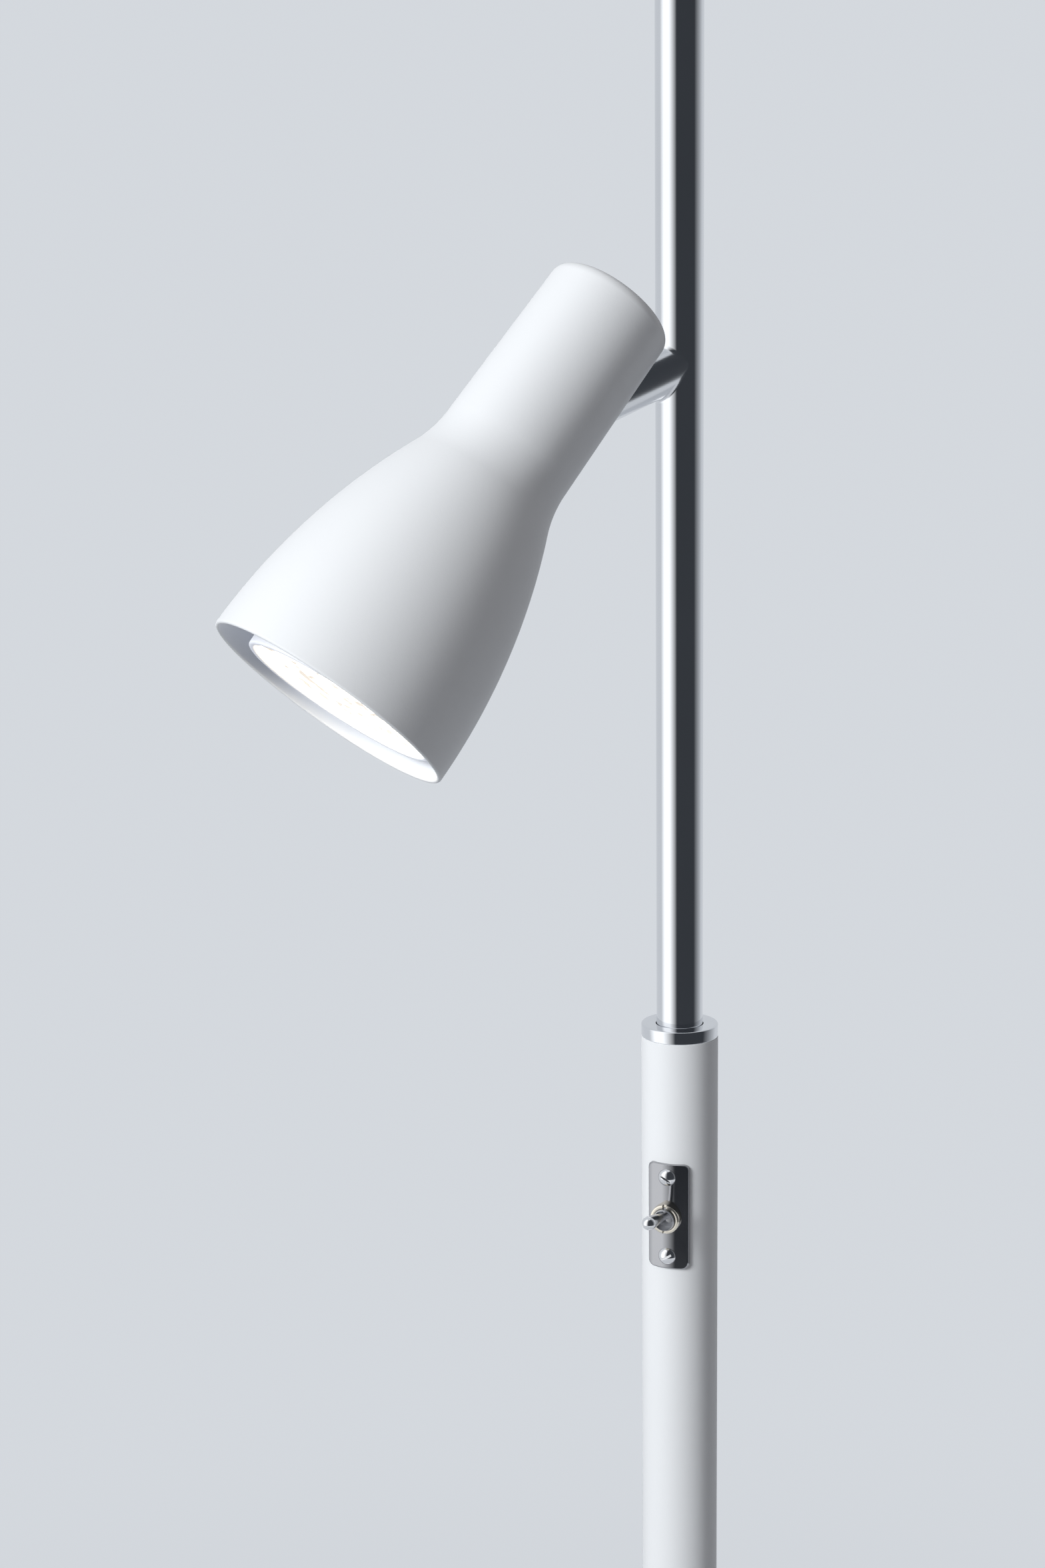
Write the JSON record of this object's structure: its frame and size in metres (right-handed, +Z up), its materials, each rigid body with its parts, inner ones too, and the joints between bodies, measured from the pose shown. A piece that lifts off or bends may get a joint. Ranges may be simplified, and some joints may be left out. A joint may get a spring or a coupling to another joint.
{
  "type": "tension pole lamp",
  "caption": "Slim pole held between floor and ceiling by a spring plunger and a screw foot, with a lever switch in the lower tube and a tilting spot shade on a short arm.",
  "frame": {"origin": "on the pole's axis, at the floor face of the foot's rubber pad", "axes": "+Z up along the pole, the arm and the shade point to -Y, and +X is on the side that the switch is turned towards"},
  "size_m": [0.0638, 0.1509, 2.4],
  "materials": {
    "black_rubber": "moulded, matt",
    "white_paint": "fine satin powder coat",
    "zinc_steel": "zinc plated",
    "cast_plug": "turned",
    "black_plastic": "moulded, fine grain",
    "grey_rubber": "moulded, matt",
    "nylon": "turned",
    "polished_chrome": "mirror polished",
    "dark_chrome": "polished dark plate",
    "red_plastic": "moulded",
    "contact_brass": "plain",
    "lead_insulation": "soft insulation",
    "sheet_steel": "zinc plated sheet",
    "spring_steel": "drawn wire",
    "ceramic": "unglazed, fine",
    "lamp_plastic": "translucent white",
    "board_white": "printed board",
    "led_phosphor": "lit phosphor",
    "lens_plastic": "lit, faint facets"
  },
  "bodies": {
    "foot": {"floor_pad": "black_rubber", "foot_plate": "white_paint", "jack_screw": "zinc_steel"},
    "lower_pole": {"lower_plug": "cast_plug", "plug_screw": "zinc_steel", "lower_tube": "white_paint", "inlet_bush": "grey_rubber", "guide_bush": "nylon", "collar": "polished_chrome", "switch_plate": "dark_chrome", "plate_screws": "polished_chrome", "switch_body": "red_plastic", "switch_terminals": "contact_brass", "switch_bushing": "zinc_steel", "switch_nut": "polished_chrome"},
    "jack_wheel": {"jack_wheel": "black_plastic"},
    "switch_lever": {"toggle_lever": "polished_chrome"},
    "mast": {"upper_tube": "polished_chrome", "arm": "polished_chrome", "arm_tongue": "zinc_steel", "lamp_leads": "lead_insulation", "top_bush": "nylon", "spring_seat": "zinc_steel", "seat_pin": "zinc_steel", "plunger_spring": "spring_steel"},
    "plunger": {"plunger_slider": "nylon", "plunger_rod": "polished_chrome"},
    "ceiling_cup": {"ceiling_plate": "white_paint", "ceiling_pad": "black_rubber", "pivot_washer": "zinc_steel", "pivot_screw": "zinc_steel"},
    "head": {"shade": "white_paint", "cap_screw": "polished_chrome", "yoke": "sheet_steel", "friction_washers": "nylon", "tilt_screw": "zinc_steel", "tilt_nut": "zinc_steel", "lampholder": "ceramic", "holder_screws": "zinc_steel", "holder_contacts": "contact_brass"},
    "lamp": {"lamp_base": "lamp_plastic", "lamp_pins": "zinc_steel", "lamp_shell": "lamp_plastic", "lamp_board": "board_white", "lamp_leds": "led_phosphor", "lamp_lens": "lens_plastic"}
  },
  "joints": [
    {"name": "jack_lift", "type": "slide", "parent": "foot", "child": "lower_pole", "axis": [0, 0, 1], "range_m": [0, 0.03]},
    {"name": "jack_turn", "type": "hinge", "parent": "lower_pole", "child": "jack_wheel", "pos_m": [0, 0, 0.02], "axis": [0, 0, 1], "range_deg": [0, 5401]},
    {"name": "switch_toggle", "type": "hinge", "parent": "lower_pole", "child": "switch_lever", "pos_m": [0.0054, -0.00643, 1.2058], "axis": [0.766, 0.6428, 0], "range_deg": [0, 24]},
    {"name": "mast_swivel", "type": "hinge", "parent": "lower_pole", "child": "mast", "pos_m": [0, 0, 1.2193], "axis": [0, 0, 1], "range_deg": [-170, 170]},
    {"name": "plunger_slide", "type": "slide", "parent": "mast", "child": "plunger", "axis": [0, 0, 1], "range_m": [-0.045, 0], "stiffness_N_per_m": 2800, "springref_m": 0.04, "deforming": ["plunger_spring"]},
    {"name": "cup_turn", "type": "hinge", "parent": "plunger", "child": "ceiling_cup", "pos_m": [0, 0, 2.383], "axis": [0, 0, 1], "continuous": true},
    {"name": "head_tilt", "type": "hinge", "parent": "mast", "child": "head", "pos_m": [0, -0.03294, 1.41103], "axis": [1, 0, 0], "range_deg": [-4, 40]},
    {"name": "lamp_turn", "type": "hinge", "parent": "head", "child": "lamp", "pos_m": [0, -0.06311, 1.38627], "axis": [0, -0.6143, -0.7891], "range_deg": [0, 40]}
  ],
  "couplings": [
    {"joint": "jack_turn", "follows": "jack_lift", "rad_per_m": 3141.6}
  ]
}
